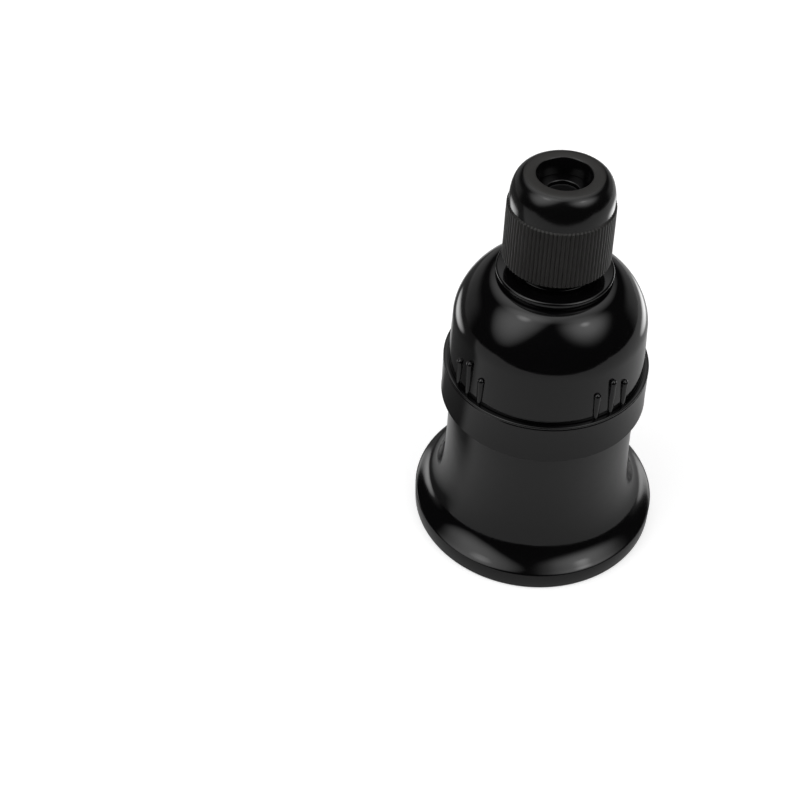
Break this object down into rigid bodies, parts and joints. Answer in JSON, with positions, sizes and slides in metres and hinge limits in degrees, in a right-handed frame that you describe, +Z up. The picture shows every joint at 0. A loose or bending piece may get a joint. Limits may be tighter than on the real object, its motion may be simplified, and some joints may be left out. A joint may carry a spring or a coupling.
{
  "type": "lamp holder",
  "caption": "Flared black lamp holder with a screw socket in a porcelain insert, a domed cap that unscrews, and a knurled gland nut for the cord.",
  "frame": {"origin": "centre of the skirt's rim, on its bottom face", "axes": "+Z up the axis of symmetry to the gland nut; +Y towards the centre contact's screw"},
  "size_m": [0.05, 0.05, 0.0835],
  "materials": {
    "black_phenolic": "polished moulding",
    "nut_phenolic": "satin moulding",
    "steel": "zinc plated",
    "seal_rubber": "matt",
    "porcelain": "porcelain, unglazed on the edges",
    "shell_aluminium": "rolled sheet",
    "contact_brass": "stamped sheet"
  },
  "bodies": {
    "skirt_body": {"skirt": "black_phenolic"},
    "insert_body": {"porcelain_insert": "porcelain", "screw_shell": "shell_aluminium", "shell_strip": "contact_brass", "contact_foot": "contact_brass", "shell_strip_screw": "steel", "contact_screw": "steel", "shell_terminal": "contact_brass", "contact_terminal": "contact_brass", "shell_wire_screw": "steel", "contact_wire_screw": "steel"},
    "contact_body": {"contact_tongue": "contact_brass"},
    "cap_body": {"cap": "black_phenolic"},
    "seal_body": {"gland_seal": "seal_rubber", "slip_washer": "nut_phenolic"},
    "nut_body": {"gland_nut": "nut_phenolic"}
  },
  "joints": [
    {"name": "cap_turn", "type": "hinge", "parent": "skirt_body", "child": "insert_body", "pos_m": [0, 0, 0.0368], "axis": [0, 0, 1], "range_deg": [0, 720]},
    {"name": "cap_lift", "type": "slide", "parent": "insert_body", "child": "cap_body", "axis": [0, 0, 1], "range_m": [0, 0.00401]},
    {"name": "contact_flex", "type": "hinge", "parent": "insert_body", "child": "contact_body", "pos_m": [0, 0.00656, 0.0291], "axis": [-1, 0, 0], "range_deg": [0, 12], "stiffness_Nm_per_rad": 0.03},
    {"name": "nut_lift", "type": "slide", "parent": "cap_body", "child": "seal_body", "axis": [0, 0, 1], "range_m": [-0.00226, 0.00601]},
    {"name": "nut_turn", "type": "hinge", "parent": "seal_body", "child": "nut_body", "pos_m": [0, 0, 0.072], "axis": [0, 0, 1], "range_deg": [-540, 1440]}
  ],
  "couplings": [
    {"joint": "cap_lift", "follows": "cap_turn", "m_per_rad": 0.0003183},
    {"joint": "nut_lift", "follows": "nut_turn", "m_per_rad": 0.0002387}
  ]
}
